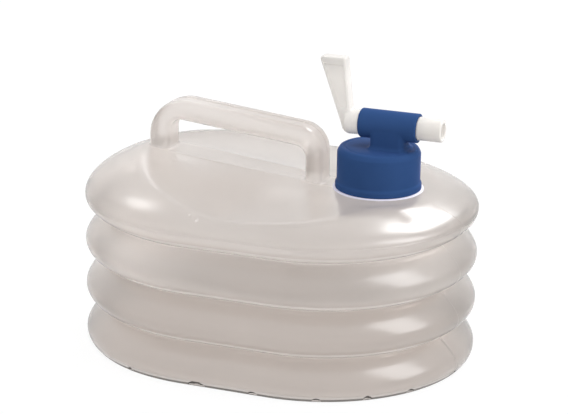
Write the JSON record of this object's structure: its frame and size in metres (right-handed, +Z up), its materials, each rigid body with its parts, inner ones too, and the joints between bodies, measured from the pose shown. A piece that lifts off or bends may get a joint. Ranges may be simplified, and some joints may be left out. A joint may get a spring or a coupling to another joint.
{
  "type": "collapsible water carrier",
  "caption": "Collapsible water carrier: an oval bellows bottle with a moulded carrying grip and a screw cap that holds a lever tap.",
  "frame": {"origin": "on the floor, under the middle of the bottle's oval outline", "axes": "+X along the bottle towards the spout, +Y across it, +Z up"},
  "size_m": [0.272, 0.211, 0.2058],
  "materials": {
    "bottle": "frosted translucent polyethylene with a soft gloss",
    "cap": "smooth deep blue plastic",
    "washer": "soft pale seal",
    "tap": "off-white plastic, slightly glossy"
  },
  "bodies": {
    "base": {"base_pan": "bottle", "bellows_fold_1": "bottle", "bellows_fold_2": "bottle", "bellows_fold_3": "bottle", "bellows_fold_4": "bottle"},
    "top": {"top_shell": "bottle"},
    "washer": {"cap_washer": "washer"},
    "cap": {"screw_cap": "cap"},
    "spindle": {"tap_spindle": "tap"}
  },
  "joints": [
    {"name": "collapse", "type": "slide", "parent": "base", "child": "top", "axis": [0, 0, -1], "range_m": [0, 0.075], "deforming": ["bellows_fold_1", "bellows_fold_2", "bellows_fold_3", "bellows_fold_4"]},
    {"name": "cap_lift", "type": "slide", "parent": "top", "child": "washer", "axis": [0, 0, 1], "range_m": [0, 0.0136]},
    {"name": "cap_turn", "type": "hinge", "parent": "washer", "child": "cap", "pos_m": [0.0697, 0, 0.1193], "axis": [0, 0, 1], "range_deg": [0, 1080]},
    {"name": "tap_turn", "type": "hinge", "parent": "cap", "child": "spindle", "pos_m": [0.0568, 0, 0.1625], "axis": [1, 0, 0], "range_deg": [0, 90]}
  ],
  "couplings": [
    {"joint": "cap_lift", "follows": "cap_turn", "m_per_rad": 0.0007162}
  ]
}
